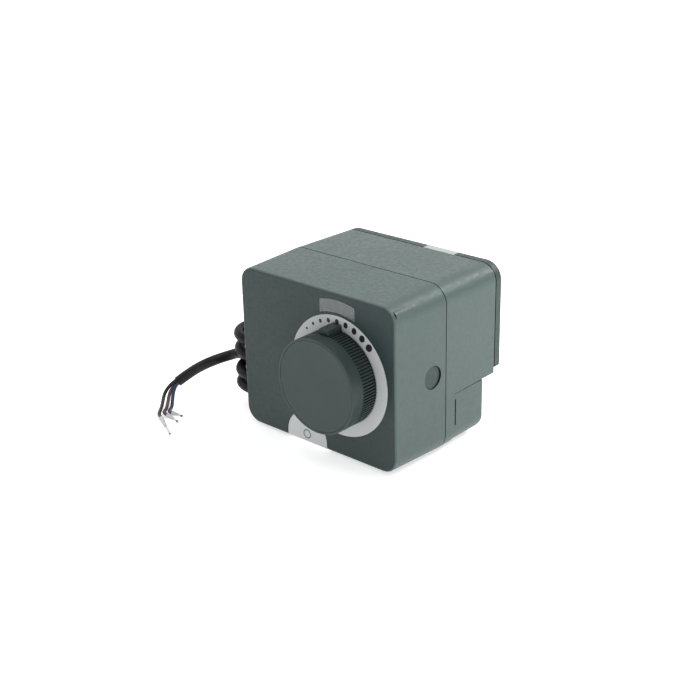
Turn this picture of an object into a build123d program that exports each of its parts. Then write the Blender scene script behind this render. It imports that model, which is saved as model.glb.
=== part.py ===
from build123d import *

import os
from math import acos, atan, atan2, cos, degrees, pi, radians, sin, tan

# Motorised rotary actuator head for a mixing valve, in millimetres.
# The origin is on the output axis, at the rear mounting face. +X is to the right seen
# from the front, +Y points at the valve and +Z is up. Heights are measured forward from
# the mounting face, so a piece at height h lies at y = -h.

# ---- casing ----
CASE_W = 102.0
CASE_H = 86.5
CASE_X = -14.5  # the case centre lies left of the output axis
CASE_CORNER_R = 9.5
WALL = 2.2
FRONT_H = 81.0
SEAM_H = 44.8
SEAM_GAP = 0.5
FRONT_INSET = 1.33  # draft of the front cover, per side
REAR_INSET = 0.7  # draft of the rear housing, per side
REAR_PLATE_T = 4.8
REAR_SEAM_GAP = 0.4
REAR_PLATE_BOTTOM_Z = -11.25
FLOOR_T = 2.2
PARTITION_H = 29.0  # wall between the gear chamber and the wiring chamber
PARTITION_T = 2.0
SHELF_Z = -14.2  # underside of the housing above the wiring cover
SHELF_T = 2.0
COVER_FRONT_H = 37.4
COVER_REAR_H = 14.7
COVER_TOP_Z = -14.6
COVER_CORNER_R = 6.5
PRY_SLIT = (1.0, 14.0)  # height along the axis, length down the side
PRY_SLIT_TOP_Z = -17.6
EDGE_R = 1.1

# ---- front face ----
DIAL_R = 30.7
DIAL_INNER_R = 12.0
DIAL_T = 1.2
DOT_CIRCLE_R = 27.8
DOT_COUNT = 9
DOT_R = (0.6, 1.8)  # smallest and largest scale dot
SCALE_SPAN = 90.0
WINDOW_R = (32.2, 38.3)
WINDOW_HALF_W = 10.9
WINDOW_DIVIDER_X = -8.9
BUTTON_X = -22.1
BUTTON_ARCH_Z = -39.25
BUTTON_HALF_W = 13.3
BUTTON_T = 2.1
BUTTON_SKIRT = 10.0
SKIRT_TOP_Z = -41.1
BUTTON_TRAVEL = 3.5
BUTTON_MARK_Z = -37.6
KNOB_R = 24.0
KNOB_BACK_H = 81.3
KNURL_TOP_H = 90.2
KNOB_FRONT_H = 97.0
KNURL_COUNT = 96
KNURL_ROOT_R = 23.35
POINTER_R = 26.8
POINTER_W = 5.4
ENTRY_H = 54.4  # height of both cable entries
ENTRY_Z = 0.15
ENTRY_R = 4.9
ENTRY_COUNTERBORE_R = 5.9

# ---- output ----
SOCKET_R = 7.0
SOCKET_DEPTH = 16.0
KEYWAY_W = 3.0
SHAFT_REAR_R = 9.5
JOURNAL_R = 8.0
GEAR_SEAT_R = 7.0
SHAFT_FRONT_R = 5.0
PIN_HOLE_R = 4.1
PIN_HOLE_Z = 34.0
NOTCH_HALF_W = 10.0
NOTCH_BOTTOM_Z = 26.8

# ---- clearances ----
RUN = 0.05  # radial running clearance
GAP = 0.1  # small gap between fixed neighbours

# ---- gear train: centres (x, z) and height spans ----
C3 = (-34.0, -11.7)
C2 = (-22.1, -29.0)
C1 = (-34.3, -24.5)
MOTOR = (-43.3, -15.1)
M_OUTPUT = 1.0
M_THIRD = 0.7
M_FAST = 0.5
PINION_TEETH = 12
OUTPUT_TEETH = 60
C3_TEETH = 48
FAST_TEETH = 40
REAR_GEAR_PLATE = (33.0, 35.0)
FRONT_GEAR_PLATE = (59.5, 61.0)
OUTPUT_GEAR_SPAN = (36.0, 42.0)
C3_WHEEL_SPAN = (43.0, 46.0)
C2_WHEEL_SPAN = (50.0, 53.0)
C1_WHEEL_SPAN = (54.0, 58.0)
C2_PINION_START = 42.5
PLATE_CENTRE = (-13.75, -0.85)
PLATE_SIZE = (82.0, 74.4)
AXLE_R = 1.0
SPINDLE_R = 1.5
PRESSURE_ANGLE = radians(20)
BACKLASH = 0.07

# ---- limit cams and switches ----
CAM_BASE_R = 11.2
CAM_LOBE_R = 14.1
CAM_LOBE_HALF = 10.0  # degrees
CAM_ROOM = 0.4  # clearance around the lobes
SWITCH_T = 5.8
LEVER_W = 3.0
SWITCH_A_H = 26.2
SWITCH_B_H = 20.2
CAM_A_H = SWITCH_A_H + (SWITCH_T - LEVER_W) / 2
CAM_B_H = SWITCH_B_H + (SWITCH_T - LEVER_W) / 2

EXPORTS = []


def level(h):
    """Plane across the output axis at height h, facing forward."""
    return Plane.XZ.offset(h)


def span(low, high):
    """Length of a height span."""
    return high - low


def keep(builder, label):
    """Label a finished piece and queue it for export."""
    builder.part.label = label
    EXPORTS.append(builder.part)


def half_tooth_angle(r, teeth, module):
    """Half the angle one tooth covers at radius r, in radians."""
    pitch_r = module * teeth / 2
    base_r = pitch_r * cos(PRESSURE_ANGLE)
    at_pitch = (pi * module / 2 - BACKLASH) / 2 / pitch_r
    local = acos(min(1.0, base_r / r))
    involute = (tan(local) - local) - (tan(PRESSURE_ANGLE) - PRESSURE_ANGLE)
    return at_pitch - involute


def on_circle(centre, r, angle):
    """Point at radius r and angle (radians) about a centre."""
    return (centre[0] + r * cos(angle), centre[1] + r * sin(angle))


def gear_profile(teeth, module, addendum, centre, phase):
    """Closed outline of a spur gear with a tooth centred on phase (radians)."""
    pitch_r = module * teeth / 2
    root_r = pitch_r - 1.25 * module
    tip_r = pitch_r + addendum * module
    base_r = pitch_r * cos(PRESSURE_ANGLE)
    start_r = max(base_r, root_r)
    middle_r = (start_r + tip_r) / 2
    step = 2 * pi / teeth
    start_half = half_tooth_angle(start_r, teeth, module)
    middle_half = half_tooth_angle(middle_r, teeth, module)
    tip_half = half_tooth_angle(tip_r, teeth, module)
    with BuildSketch() as outline:
        with BuildLine():
            for tooth in range(teeth):
                mid = phase + tooth * step
                left = on_circle(centre, start_r, mid - start_half)
                right = on_circle(centre, start_r, mid + start_half)
                root_left = on_circle(centre, root_r, mid - start_half)
                root_right = on_circle(centre, root_r, mid + start_half)
                next_root = on_circle(centre, root_r, mid + step - start_half)
                tip_left = on_circle(centre, tip_r, mid - tip_half)
                tip_right = on_circle(centre, tip_r, mid + tip_half)
                if start_r > root_r:
                    Line(root_left, left)
                ThreePointArc(left, on_circle(centre, middle_r, mid - middle_half), tip_left)
                ThreePointArc(tip_left, on_circle(centre, tip_r, mid), tip_right)
                ThreePointArc(tip_right, on_circle(centre, middle_r, mid + middle_half), right)
                if start_r > root_r:
                    Line(right, root_right)
                Line(root_right, next_root)
        make_face()
    return outline.sketch


def wheel(teeth, module, centre, phase):
    return gear_profile(teeth, module, 0.7, centre, phase)


def pinion(module, centre, phase):
    return gear_profile(PINION_TEETH, module, 1.0, centre, phase)


def mesh_phase(teeth_a, phase_a, centre_a, teeth_b, centre_b):
    """Phase of gear b that puts one of its gaps on the tooth of gear a."""
    towards = atan2(centre_b[1] - centre_a[1], centre_b[0] - centre_a[0])
    past_tooth = (towards - phase_a) % (2 * pi / teeth_a)
    return towards + pi + past_tooth * teeth_a / teeth_b + pi / teeth_b


def case_outline(inset):
    """Front view of the case at its seam, drawn in by inset on every side."""
    with BuildSketch() as outline:
        with Locations((CASE_X, 0)):
            RectangleRounded(CASE_W - 2 * inset, CASE_H - 2 * inset, CASE_CORNER_R - inset)
    return outline.sketch


def arch_outline(grow):
    """The manual button's outline: a round-topped arch that runs past the bottom edge."""
    with BuildSketch() as outline:
        with Locations((BUTTON_X, BUTTON_ARCH_Z)):
            Circle(BUTTON_HALF_W + grow)
        with Locations((BUTTON_X, BUTTON_ARCH_Z)):
            Rectangle(2 * (BUTTON_HALF_W + grow), 2 * BUTTON_HALF_W, align=(Align.CENTER, Align.MAX))
    return outline.sketch


def window_outline(grow):
    """The indicator window's outline: a band about the axis with upright ends."""
    with BuildSketch() as outline:
        Circle(WINDOW_R[1] + grow)
        Circle(WINDOW_R[0] - grow, mode=Mode.SUBTRACT)
        with Locations((0, sum(WINDOW_R) / 2)):
            Rectangle(2 * (WINDOW_HALF_W + grow), 20, mode=Mode.INTERSECT)
    return outline.sketch


FRONT_TAPER = degrees(atan(FRONT_INSET / (FRONT_H - SEAM_H)))
REAR_TAPER = degrees(atan(REAR_INSET / SEAM_H))
REAR_EDGE_INSET = REAR_INSET * (SEAM_H - REAR_PLATE_T) / SEAM_H
UPPER_CASE_SCREWS = ((-59.5, 37.0), (31.5, 37.0))
LOWER_CASE_SCREWS = ((-59.5, -36.0), (30.5, -36.0))
UPPER_BOX_SCREWS = ((-51.5, 33.0), (24.0, 33.0))
LOWER_BOX_SCREWS = ((-38.0, -35.0), (24.0, -35.0))
REAR_PLATE_SCREWS = ((-52.0, 20.0), (25.0, 20.0), (-52.0, -4.0), (25.0, -4.0))
CASE_SCREW_R = 1.5
BOX_SCREW_R = 1.25

# ---- front cover: drafted box, open to the rear ----
with BuildPart() as front_cover:
    with BuildSketch(level(SEAM_H + SEAM_GAP / 2)):
        add(case_outline(0))
    extrude(amount=span(SEAM_H + SEAM_GAP / 2, FRONT_H), taper=FRONT_TAPER)
    fillet(front_cover.faces().sort_by(Axis.Y)[0].edges(), EDGE_R)
    with BuildSketch(level(SEAM_H)):
        add(case_outline(WALL))
    extrude(amount=span(SEAM_H, FRONT_H - WALL), taper=FRONT_TAPER, mode=Mode.SUBTRACT)
    with BuildSketch(level(SEAM_H + SEAM_GAP / 2)):
        with Locations(*UPPER_CASE_SCREWS, *LOWER_CASE_SCREWS):
            Circle(3.2)
    extrude(amount=span(SEAM_H + SEAM_GAP / 2, FRONT_H - WALL))
    with BuildSketch(level(SEAM_H)):
        with Locations(*UPPER_CASE_SCREWS, *LOWER_CASE_SCREWS):
            Circle(CASE_SCREW_R + RUN)
    extrude(amount=16, mode=Mode.SUBTRACT)
    with BuildSketch(level(FRONT_H - WALL)):
        Circle(SHAFT_FRONT_R + 0.6)
        add(window_outline(GAP))
        add(arch_outline(GAP))
    extrude(amount=WALL + 1, mode=Mode.SUBTRACT)
    with BuildSketch(level(FRONT_H - DIAL_T)):
        Circle(DIAL_R + GAP)
    extrude(amount=DIAL_T + 1, mode=Mode.SUBTRACT)
    # shallow slide under the bottom wall for the button's skirt
    with BuildSketch(level(FRONT_H - BUTTON_SKIRT - BUTTON_TRAVEL - 0.4)):
        with Locations((BUTTON_X, SKIRT_TOP_Z + 0.05)):
            Rectangle(2 * (BUTTON_HALF_W + 2 * GAP), 3, align=(Align.CENTER, Align.MAX))
    extrude(amount=BUTTON_SKIRT + BUTTON_TRAVEL + 2, mode=Mode.SUBTRACT)
    # room for the button's face to travel past the bottom wall
    with BuildSketch(level(FRONT_H - BUTTON_T - BUTTON_TRAVEL - 0.2)):
        with Locations((BUTTON_X, SKIRT_TOP_Z + 1.6)):
            Rectangle(2 * (BUTTON_HALF_W + GAP), 5, align=(Align.CENTER, Align.MAX))
    extrude(amount=BUTTON_T + BUTTON_TRAVEL + 2, mode=Mode.SUBTRACT)
    # cable entries, left and right, each with a shallow counterbore
    for side in (Plane.YZ.offset(CASE_X - CASE_W / 2 + 3.2), Plane.YZ.offset(CASE_X + CASE_W / 2)):
        with BuildSketch(side):
            with Locations((-ENTRY_H, ENTRY_Z)):
                Circle(ENTRY_R + GAP)
        extrude(amount=-4, mode=Mode.SUBTRACT)
    for side in (
        Plane.YZ.offset(CASE_X + CASE_W / 2 - 1.5),
        Plane.YZ.offset(CASE_X - CASE_W / 2 + 1.5 - 3),
    ):
        with BuildSketch(side):
            with Locations((-ENTRY_H, ENTRY_Z)):
                Circle(ENTRY_COUNTERBORE_R)
        extrude(amount=3, mode=Mode.SUBTRACT)
keep(front_cover, "front_cover")

# ---- rear housing: drafted box with an inset step for the wiring cover ----
with BuildPart() as rear_housing:
    with BuildSketch(level(REAR_PLATE_T)):
        add(case_outline(REAR_EDGE_INSET))
    extrude(amount=span(REAR_PLATE_T, SEAM_H - SEAM_GAP / 2), taper=-REAR_TAPER)
    fillet(rear_housing.faces().sort_by(Axis.Y)[-1].edges(), 0.4)
    # chamber, open to the front
    with BuildSketch(level(REAR_PLATE_T + FLOOR_T)):
        add(case_outline(REAR_EDGE_INSET + WALL))
    extrude(amount=span(REAR_PLATE_T + FLOOR_T, SEAM_H), taper=-REAR_TAPER, mode=Mode.SUBTRACT)
    # everything below the shelf is removed, then the inset box is added back
    with BuildSketch(level(0)):
        with Locations((CASE_X, SHELF_Z)):
            Rectangle(CASE_W + 4, CASE_H, align=(Align.CENTER, Align.MAX))
    extrude(amount=COVER_FRONT_H, mode=Mode.SUBTRACT)
    with BuildSketch(level(REAR_PLATE_T)):
        with Locations((CASE_X, SHELF_Z)):
            Rectangle(
                CASE_W - 2 * (WALL + 0.2), SHELF_T, align=(Align.CENTER, Align.MIN)
            )
    extrude(amount=span(REAR_PLATE_T, PARTITION_H + PARTITION_T))
    with BuildSketch(level(PARTITION_H)) as inset_box:
        add(case_outline(WALL + 0.4))
        with Locations((CASE_X, SHELF_Z + SHELF_T)):
            Rectangle(CASE_W, CASE_H, align=(Align.CENTER, Align.MIN), mode=Mode.SUBTRACT)
    extrude(amount=PARTITION_T)
    with BuildSketch(level(PARTITION_H)):
        add(inset_box.sketch)
        add(case_outline(WALL + 2.2), mode=Mode.SUBTRACT)
    extrude(amount=span(PARTITION_H, COVER_FRONT_H + 1.5))
    # bulge under the shelf, hollowed for the lobe of the forward cam
    with BuildSketch(level(CAM_A_H - CAM_ROOM - WALL)):
        Circle(CAM_LOBE_R + CAM_ROOM + WALL)
        with Locations((0, SHELF_Z + SHELF_T / 2)):
            Rectangle(60, 60, align=(Align.CENTER, Align.MIN), mode=Mode.SUBTRACT)
    extrude(amount=span(CAM_A_H - CAM_ROOM - WALL, PARTITION_H + PARTITION_T))
    with BuildSketch(level(CAM_A_H - CAM_ROOM)):
        Circle(CAM_LOBE_R + CAM_ROOM)
    extrude(amount=span(CAM_A_H - CAM_ROOM, PARTITION_H + PARTITION_T + 1), mode=Mode.SUBTRACT)
    # bore for the rear end of the clutch spindle
    with BuildSketch(level(PARTITION_H - 1)):
        with Locations(C2):
            Circle(SPINDLE_R + 0.2)
    extrude(amount=PARTITION_T + 2, mode=Mode.SUBTRACT)
    # spigot lip that enters the front cover behind the seam groove
    with BuildSketch(level(SEAM_H - 4)):
        add(case_outline(WALL - 0.5))
        add(case_outline(WALL + 1.3), mode=Mode.SUBTRACT)
    extrude(amount=3.5)
    with BuildSketch(level(SEAM_H - 4)):
        add(case_outline(WALL + 0.15))
        add(case_outline(WALL + 1.3), mode=Mode.SUBTRACT)
        with Locations(*UPPER_CASE_SCREWS, *LOWER_CASE_SCREWS):
            Circle(4.0, mode=Mode.SUBTRACT)
    extrude(amount=6.5)
    # bosses for the case screws and for the gearbox screws
    with BuildSketch(level(REAR_PLATE_T)):
        with Locations(*UPPER_CASE_SCREWS):
            Circle(3.4)
    extrude(amount=span(REAR_PLATE_T, SEAM_H - SEAM_GAP / 2))
    with BuildSketch(level(PARTITION_H)):
        with Locations(*LOWER_CASE_SCREWS):
            Circle(2.7)
    extrude(amount=span(PARTITION_H, SEAM_H - SEAM_GAP / 2))
    with BuildSketch(level(REAR_PLATE_T)):
        with Locations(*UPPER_BOX_SCREWS):
            Circle(3.2)
    extrude(amount=span(REAR_PLATE_T, REAR_GEAR_PLATE[0]))
    with BuildSketch(level(PARTITION_H)):
        with Locations(*LOWER_BOX_SCREWS):
            Circle(3.0)
    extrude(amount=span(PARTITION_H, REAR_GEAR_PLATE[0]))
    with BuildSketch(level(REAR_PLATE_T)):
        with Locations(*REAR_PLATE_SCREWS):
            Circle(3.0)
    extrude(amount=8)
    # holes: output shaft, case screws with head pockets, gearbox and plate screws
    with BuildSketch(level(0)):
        Circle(SHAFT_REAR_R + 0.7)
        with Locations(*UPPER_CASE_SCREWS, *LOWER_CASE_SCREWS):
            Circle(CASE_SCREW_R + 0.2)
    extrude(amount=SEAM_H + 4, mode=Mode.SUBTRACT)
    with BuildSketch(level(REAR_PLATE_T)):
        with Locations(*UPPER_CASE_SCREWS):
            Circle(2.9)
    extrude(amount=2.6, mode=Mode.SUBTRACT)
    with BuildSketch(level(REAR_GEAR_PLATE[0] - 10)):
        with Locations(*UPPER_BOX_SCREWS):
            Circle(BOX_SCREW_R + RUN)
    extrude(amount=10, mode=Mode.SUBTRACT)
    with BuildSketch(level(PARTITION_H + 0.5)):
        with Locations(*LOWER_BOX_SCREWS):
            Circle(BOX_SCREW_R + RUN)
    extrude(amount=span(PARTITION_H + 0.5, REAR_GEAR_PLATE[0]), mode=Mode.SUBTRACT)
    with BuildSketch(level(REAR_PLATE_T)):
        with Locations(*REAR_PLATE_SCREWS):
            Circle(BOX_SCREW_R + RUN)
    extrude(amount=7, mode=Mode.SUBTRACT)
keep(rear_housing, "rear_housing")

# ---- rear mounting plate with the locating notch at the top ----
with BuildPart() as rear_plate:
    with BuildSketch(level(0)):
        add(case_outline(REAR_INSET))
        with Locations((CASE_X, REAR_PLATE_BOTTOM_Z)):
            Rectangle(CASE_W, CASE_H, align=(Align.CENTER, Align.MAX), mode=Mode.SUBTRACT)
        with Locations((0, NOTCH_BOTTOM_Z)):
            Rectangle(2 * NOTCH_HALF_W, 30, align=(Align.CENTER, Align.MIN), mode=Mode.SUBTRACT)
    extrude(amount=REAR_PLATE_T - REAR_SEAM_GAP, taper=-REAR_TAPER)
    fillet(rear_plate.faces().sort_by(Axis.Y)[-1].outer_wire().edges(), 0.5)
    with BuildSketch(level(0)):
        Circle(SHAFT_REAR_R + 0.7)
        with Locations(*REAR_PLATE_SCREWS):
            Circle(BOX_SCREW_R + 0.2)
    extrude(amount=REAR_PLATE_T, mode=Mode.SUBTRACT)
    with BuildSketch(level(0)):
        with Locations(*REAR_PLATE_SCREWS):
            Circle(2.8)
    extrude(amount=2.2, mode=Mode.SUBTRACT)
keep(rear_plate, "rear_plate")

with BuildPart() as anti_rotation_insert:
    with BuildSketch(level(0)):
        add(case_outline(REAR_INSET + 0.1))
        with Locations((0, NOTCH_BOTTOM_Z + GAP)):
            Rectangle(
                2 * (NOTCH_HALF_W - GAP), 30, align=(Align.CENTER, Align.MIN), mode=Mode.INTERSECT
            )
    extrude(amount=REAR_PLATE_T - 0.1)
    with BuildSketch(level(0)):
        with Locations((0, PIN_HOLE_Z)):
            Circle(PIN_HOLE_R)
    extrude(amount=REAR_PLATE_T, mode=Mode.SUBTRACT)
keep(anti_rotation_insert, "anti_rotation_insert")

# ---- wiring cover: the lower rear corner of the case ----
COVER_INSET = REAR_INSET * (SEAM_H - COVER_REAR_H) / SEAM_H
COVER_BOTTOM_Z = -CASE_H / 2 + COVER_INSET
COVER_CORNER = (-COVER_REAR_H - COVER_CORNER_R, COVER_BOTTOM_Z + COVER_CORNER_R)  # y, z
with BuildPart() as wiring_cover:
    with BuildSketch(level(COVER_REAR_H)):
        add(case_outline(COVER_INSET))
        with Locations((CASE_X, COVER_TOP_Z)):
            Rectangle(CASE_W + 4, CASE_H, align=(Align.CENTER, Align.MIN), mode=Mode.SUBTRACT)
    extrude(amount=span(COVER_REAR_H, COVER_FRONT_H - 0.3))
    # rounded corner between the rear face and the bottom
    with BuildSketch(Plane.YZ.offset(CASE_X - CASE_W / 2 - 1)):
        with Locations(COVER_CORNER):
            Rectangle(COVER_CORNER_R + 1, COVER_CORNER_R + 1, align=(Align.MIN, Align.MAX))
            Circle(COVER_CORNER_R, mode=Mode.SUBTRACT)
    extrude(amount=CASE_W + 2, mode=Mode.SUBTRACT)
    with BuildSketch(level(COVER_REAR_H + WALL)):
        add(case_outline(WALL + 0.25))
        with Locations((CASE_X, COVER_TOP_Z + 1)):
            Rectangle(CASE_W + 4, CASE_H, align=(Align.CENTER, Align.MIN), mode=Mode.SUBTRACT)
    extrude(amount=30, mode=Mode.SUBTRACT)
    # thickening behind the rounded corner
    with BuildSketch(Plane.YZ.offset(CASE_X - CASE_W / 2 + CASE_CORNER_R)):
        with Locations(COVER_CORNER):
            Rectangle(COVER_CORNER_R - 1, COVER_CORNER_R - 1, align=(Align.MIN, Align.MAX))
            Circle(COVER_CORNER_R - WALL, mode=Mode.SUBTRACT)
            Circle(COVER_CORNER_R - 0.1, mode=Mode.INTERSECT)
    extrude(amount=CASE_W - 2 * CASE_CORNER_R)
    # pry slit at the front edge of the right side
    with BuildSketch(Plane.YZ.offset(CASE_X + CASE_W / 2 - 1.2)):
        with Locations((-COVER_FRONT_H + 0.3, PRY_SLIT_TOP_Z)):
            Rectangle(*PRY_SLIT, align=(Align.MIN, Align.MAX))
    extrude(amount=3, mode=Mode.SUBTRACT)
keep(wiring_cover, "wiring_cover")

# ---- dial ring with scale dots that grow from left to right ----
with BuildPart() as dial_ring:
    with BuildSketch(level(FRONT_H - DIAL_T)):
        Circle(DIAL_R)
        Circle(DIAL_INNER_R, mode=Mode.SUBTRACT)
        # the button's arch is cut clear of the ring
        add(arch_outline(2 * GAP), mode=Mode.SUBTRACT)
    extrude(amount=DIAL_T)
    for dot in range(DOT_COUNT):
        share = dot / (DOT_COUNT - 1)
        angle = 90 + SCALE_SPAN * (0.5 - share)
        r = DOT_R[0] + share * (DOT_R[1] - DOT_R[0])
        with BuildSketch(level(FRONT_H - 0.5)):
            with PolarLocations(DOT_CIRCLE_R, 1, start_angle=angle):
                Ellipse(1.15 * r, r)
        extrude(amount=1, mode=Mode.SUBTRACT)
keep(dial_ring, "dial_ring")

with BuildPart() as window_lens:
    with BuildSketch(level(FRONT_H - WALL - 0.9)):
        add(window_outline(1.0))
    extrude(amount=0.8)
    with BuildSketch(level(FRONT_H - WALL - 0.1)):
        add(window_outline(0))
    extrude(amount=WALL)
    with BuildSketch(level(FRONT_H - 0.4)):
        with Locations((WINDOW_DIVIDER_X, WINDOW_R[1] - 3)):
            Rectangle(0.35, 12)
    extrude(amount=1, mode=Mode.SUBTRACT)
keep(window_lens, "window_lens")

# ---- manual button and the clutch spindle that it pushes ----
with BuildPart() as manual_button:
    with BuildSketch(level(FRONT_H - BUTTON_T)) as button_face:
        add(arch_outline(0))
        add(case_outline(FRONT_INSET + 0.15), mode=Mode.INTERSECT)
    extrude(amount=BUTTON_T - 0.05)
    fillet(manual_button.faces().sort_by(Axis.Y)[0].outer_wire().edges(), 0.25)
    # skirt along the bottom edge
    with BuildSketch(level(FRONT_H - BUTTON_SKIRT)):
        add(button_face.sketch)
        with Locations((BUTTON_X, SKIRT_TOP_Z)):
            Rectangle(40, 40, align=(Align.CENTER, Align.MIN), mode=Mode.SUBTRACT)
    extrude(amount=BUTTON_SKIRT - 1)
    # round dimple that marks the manual function
    with BuildSketch(level(FRONT_H - 0.35)):
        with Locations((BUTTON_X, BUTTON_MARK_Z)):
            Circle(2.5)
            Circle(1.9, mode=Mode.SUBTRACT)
    extrude(amount=1, mode=Mode.SUBTRACT)
    # socket that receives the spindle
    with BuildSketch(level(FRONT_H - BUTTON_T - 6)):
        with Locations(C2):
            Circle(2.9)
            Circle(SPINDLE_R + 0.02, mode=Mode.SUBTRACT)
    extrude(amount=6)
keep(manual_button, "manual_button")

SPINDLE_REAR_H = PARTITION_H + BUTTON_TRAVEL + GAP
with BuildPart() as clutch_spindle:
    with BuildSketch(level(SPINDLE_REAR_H)):
        with Locations(C2):
            Circle(SPINDLE_R)
    extrude(amount=span(SPINDLE_REAR_H, FRONT_H - BUTTON_T - 0.1))
    # snap-ring collars that carry the clutch gear
    for start in (C2_PINION_START - 0.5, C2_WHEEL_SPAN[1] + 0.05):
        with BuildSketch(level(start)):
            with Locations(C2):
                Circle(2.5)
        extrude(amount=0.45)
keep(clutch_spindle, "clutch_spindle")


def spring_path(low, high, r, turns):
    """Helix about the clutch spindle."""
    return Helix(
        pitch=span(low, high) / turns,
        height=span(low, high),
        radius=r,
        center=(C2[0], -low, C2[1]),
        direction=(0, -1, 0),
    )


SPRING_R = 2.25
SPRING_WIRE_R = 0.22
SPRING_TURNS = 6
SPRING_LOW = REAR_GEAR_PLATE[1] + 0.3
SPRING_HIGH = C2_PINION_START - 0.5 - 0.3
with BuildPart() as clutch_spring:
    with BuildLine() as coil:
        add(spring_path(SPRING_LOW, SPRING_HIGH, SPRING_R, SPRING_TURNS))
    with BuildSketch(Plane(origin=coil.line @ 0, z_dir=coil.line % 0)):
        Circle(SPRING_WIRE_R)
    sweep(is_frenet=True)
keep(clutch_spring, "clutch_spring")

# ---- gear phases: each pinion has a gap on the tooth of the wheel that it drives ----
PHASE_C3 = mesh_phase(OUTPUT_TEETH, 0, (0, 0), PINION_TEETH, C3)
PHASE_C2 = mesh_phase(C3_TEETH, 0, C3, PINION_TEETH, C2)
PHASE_C1 = mesh_phase(FAST_TEETH, 0, C2, PINION_TEETH, C1)
PHASE_MOTOR = mesh_phase(FAST_TEETH, 0, C1, PINION_TEETH, MOTOR)

with BuildPart() as output_gear:
    with BuildSketch(level(OUTPUT_GEAR_SPAN[0])):
        add(wheel(OUTPUT_TEETH, M_OUTPUT, (0, 0), 0))
        Circle(GEAR_SEAT_R + 0.02, mode=Mode.SUBTRACT)
    extrude(amount=span(*OUTPUT_GEAR_SPAN))
    # thinned web on the front side with lightening holes
    with BuildSketch(level(OUTPUT_GEAR_SPAN[1] - 2)):
        Circle(26)
        Circle(11, mode=Mode.SUBTRACT)
    extrude(amount=3, mode=Mode.SUBTRACT)
    with BuildSketch(level(OUTPUT_GEAR_SPAN[0])):
        with PolarLocations(18.5, 6):
            Circle(4.5)
    extrude(amount=span(*OUTPUT_GEAR_SPAN), mode=Mode.SUBTRACT)
keep(output_gear, "output_gear")

with BuildPart() as third_gear:
    with BuildSketch(level(OUTPUT_GEAR_SPAN[0])):
        add(pinion(M_OUTPUT, C3, PHASE_C3))
    extrude(amount=span(OUTPUT_GEAR_SPAN[0], C3_WHEEL_SPAN[0]))
    with BuildSketch(level(C3_WHEEL_SPAN[0])):
        add(wheel(C3_TEETH, M_THIRD, C3, 0))
    extrude(amount=span(*C3_WHEEL_SPAN))
    with BuildSketch(level(C3_WHEEL_SPAN[1])):
        with Locations(C3):
            Circle(3)
    extrude(amount=span(C3_WHEEL_SPAN[1], 48.0))
    with BuildSketch(level(C3_WHEEL_SPAN[0])):
        with Locations(C3):
            with PolarLocations(11.5, 5):
                Circle(2.6)
    extrude(amount=span(*C3_WHEEL_SPAN), mode=Mode.SUBTRACT)
    with BuildSketch(level(OUTPUT_GEAR_SPAN[0])):
        with Locations(C3):
            Circle(AXLE_R + RUN)
    extrude(amount=20, mode=Mode.SUBTRACT)
keep(third_gear, "third_gear")

with BuildPart() as clutch_gear:
    with BuildSketch(level(C2_PINION_START)):
        add(pinion(M_THIRD, C2, PHASE_C2))
    extrude(amount=span(C2_PINION_START, C2_WHEEL_SPAN[0]))
    with BuildSketch(level(C2_WHEEL_SPAN[0])):
        add(wheel(FAST_TEETH, M_FAST, C2, 0))
    extrude(amount=span(*C2_WHEEL_SPAN))
    with BuildSketch(level(C2_PINION_START)):
        with Locations(C2):
            Circle(SPINDLE_R + RUN)
    extrude(amount=20, mode=Mode.SUBTRACT)
keep(clutch_gear, "clutch_gear")

with BuildPart() as first_gear:
    with BuildSketch(level(C2_WHEEL_SPAN[0])):
        add(pinion(M_FAST, C1, PHASE_C1))
    extrude(amount=span(C2_WHEEL_SPAN[0], C1_WHEEL_SPAN[0]))
    with BuildSketch(level(C1_WHEEL_SPAN[0])):
        add(wheel(FAST_TEETH, M_FAST, C1, 0))
    extrude(amount=span(*C1_WHEEL_SPAN))
    with BuildSketch(level(C2_WHEEL_SPAN[0])):
        with Locations(C1):
            Circle(AXLE_R + RUN)
    extrude(amount=30, mode=Mode.SUBTRACT)
keep(first_gear, "first_gear")

with BuildPart() as motor_pinion:
    with BuildSketch(level(C1_WHEEL_SPAN[0] - 0.5)):
        add(pinion(M_FAST, MOTOR, PHASE_MOTOR))
    extrude(amount=span(*C1_WHEEL_SPAN) + 1)
    with BuildSketch(level(C1_WHEEL_SPAN[0] - 1)):
        with Locations(MOTOR):
            Circle(AXLE_R + 0.02)
    extrude(amount=10, mode=Mode.SUBTRACT)
keep(motor_pinion, "motor_pinion")

with BuildPart() as motor_shaft:
    with BuildSketch(level(C1_WHEEL_SPAN[0] - 0.8)):
        with Locations(MOTOR):
            Circle(AXLE_R)
    extrude(amount=14)
keep(motor_shaft, "motor_shaft")

# ---- output shaft: keyed socket at the rear, journals, gear seat and knob end ----
BUSH_FLANGE_T = 1.0
KNOB_SCREW_H = 93.0
with BuildPart() as output_shaft:
    with BuildSketch(level(0)):
        Circle(SHAFT_REAR_R)
    extrude(amount=32.0)
    for start, end, r in (
        (32.0, OUTPUT_GEAR_SPAN[0] - 0.1, JOURNAL_R),
        (OUTPUT_GEAR_SPAN[0] - 0.1, OUTPUT_GEAR_SPAN[1] + 1, GEAR_SEAT_R),
        (OUTPUT_GEAR_SPAN[1] + 1, KNOB_SCREW_H - 0.2, SHAFT_FRONT_R),
    ):
        with BuildSketch(level(start)):
            Circle(r)
        extrude(amount=span(start, end))
    with BuildSketch(level(0)):
        Circle(SOCKET_R)
        with Locations((0, SOCKET_R)):
            Rectangle(KEYWAY_W, 2.4)
    extrude(amount=SOCKET_DEPTH, mode=Mode.SUBTRACT)
    with BuildSketch(level(KNOB_SCREW_H - 10)):
        Circle(1.7)
    extrude(amount=12, mode=Mode.SUBTRACT)
keep(output_shaft, "output_shaft")

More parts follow.
